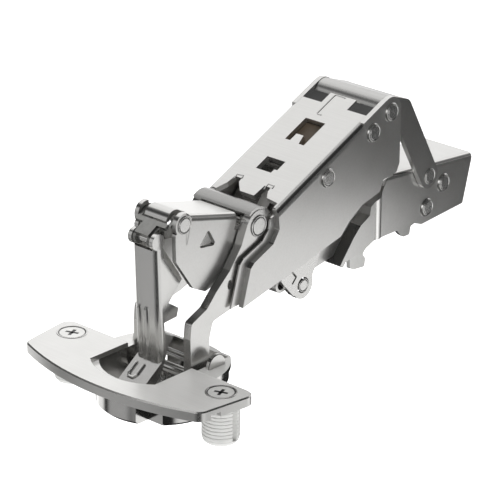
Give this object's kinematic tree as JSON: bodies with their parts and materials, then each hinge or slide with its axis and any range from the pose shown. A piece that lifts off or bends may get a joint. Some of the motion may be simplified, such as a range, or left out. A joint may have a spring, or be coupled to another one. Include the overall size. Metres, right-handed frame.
{
  "type": "concealed cup hinge",
  "caption": "Concealed cup hinge for a cabinet door: dowelled cup and flange, folding steel levers and a clip-on base arm, opening to a wide angle.",
  "frame": {"origin": "on the cup's axis, in the plane of the flange's underside, which is the inner face of the door", "axes": "+Z out of the door, +Y from the cup towards the base arm, +X along the pivots"},
  "size_m": [0.0654, 0.138, 0.0663],
  "materials": {
    "nickel_steel": "satin nickel plating on pressed steel",
    "cup_steel": "bright nickel plating",
    "zinc_screw": "satin zinc",
    "dowel_nylon": "pale nylon",
    "damper_plastic": "dark brown plastic",
    "glide_plastic": "dark grey plastic"
  },
  "bodies": {
    "cup": {"flange_plate": "nickel_steel", "cup_shell": "cup_steel", "left_screw": "zinc_screw", "right_screw": "zinc_screw", "left_dowel": "dowel_nylon", "right_dowel": "dowel_nylon", "left_cup_spring": "nickel_steel", "right_cup_spring": "nickel_steel", "cup_front_pin": "nickel_steel", "cup_rear_pin": "nickel_steel"},
    "outer_lever": {"outer_lever": "nickel_steel", "front_pin": "nickel_steel"},
    "main_arm": {"main_arm": "nickel_steel", "arm_liner": "nickel_steel", "damper": "damper_plastic", "left_glide": "glide_plastic", "right_glide": "glide_plastic", "arm_pin": "nickel_steel", "control_top_pin": "nickel_steel", "rear_top_pin": "nickel_steel"},
    "rear_link": {"rear_link": "nickel_steel"},
    "base_arm": {"base_arm": "nickel_steel", "rear_bottom_pin": "nickel_steel", "control_low_pin": "nickel_steel", "base_rivet_high": "nickel_steel", "base_rivet_low": "nickel_steel", "left_catch": "nickel_steel", "right_catch": "nickel_steel"},
    "control_link": {"control_link": "nickel_steel"},
    "front_link": {"front_link": "nickel_steel", "left_bridge_rivet": "nickel_steel", "right_bridge_rivet": "nickel_steel"},
    "inner_lever": {"inner_lever": "nickel_steel", "bridge_low_pin": "nickel_steel"},
    "bridge_link": {"bridge_link": "nickel_steel"}
  },
  "joints": [
    {"name": "door_swing", "type": "hinge", "parent": "cup", "child": "outer_lever", "pos_m": [0, 0.0042, -0.0024], "axis": [1, 0, 0], "range_deg": [-45, 62]},
    {"name": "main_arm_pivot", "type": "hinge", "parent": "outer_lever", "child": "main_arm", "pos_m": [0, 0.049, 0.0401], "axis": [1, 0, 0], "range_deg": [-7.5, 10.22]},
    {"name": "rear_link_pivot", "type": "hinge", "parent": "main_arm", "child": "rear_link", "pos_m": [0, 0.074, 0.0516], "axis": [1, 0, 0], "range_deg": [-15.6, 21.38]},
    {"name": "base_arm_pivot", "type": "hinge", "parent": "rear_link", "child": "base_arm", "pos_m": [0, 0.0933, 0.028], "axis": [1, 0, 0], "range_deg": [-3.4, 2.55]},
    {"name": "control_link_pivot", "type": "hinge", "parent": "main_arm", "child": "control_link", "pos_m": [0, 0.0668, 0.0478], "axis": [1, 0, 0], "range_deg": [-15.82, 21.69]},
    {"name": "front_link_pivot", "type": "hinge", "parent": "outer_lever", "child": "front_link", "pos_m": [0, 0.0255, 0.033], "axis": [1, 0, 0], "range_deg": [-46.8, 34.05]},
    {"name": "inner_lever_pivot", "type": "hinge", "parent": "cup", "child": "inner_lever", "pos_m": [0, -0.012, -0.0046], "axis": [1, 0, 0], "range_deg": [-34.5, 47.42]},
    {"name": "bridge_link_pivot", "type": "hinge", "parent": "inner_lever", "child": "bridge_link", "pos_m": [0, -0.005, 0.0358], "axis": [1, 0, 0], "range_deg": [-42.6, 58.58]}
  ],
  "couplings": [
    {"joint": "main_arm_pivot", "follows": "door_swing", "ratio": 0.16},
    {"joint": "rear_link_pivot", "follows": "door_swing", "ratio": 0.34},
    {"joint": "base_arm_pivot", "follows": "door_swing", "ratio": -0.05},
    {"joint": "control_link_pivot", "follows": "door_swing", "ratio": 0.345},
    {"joint": "front_link_pivot", "follows": "door_swing", "ratio": -0.75},
    {"joint": "inner_lever_pivot", "follows": "door_swing", "ratio": 0.76},
    {"joint": "bridge_link_pivot", "follows": "door_swing", "ratio": 0.94}
  ]
}
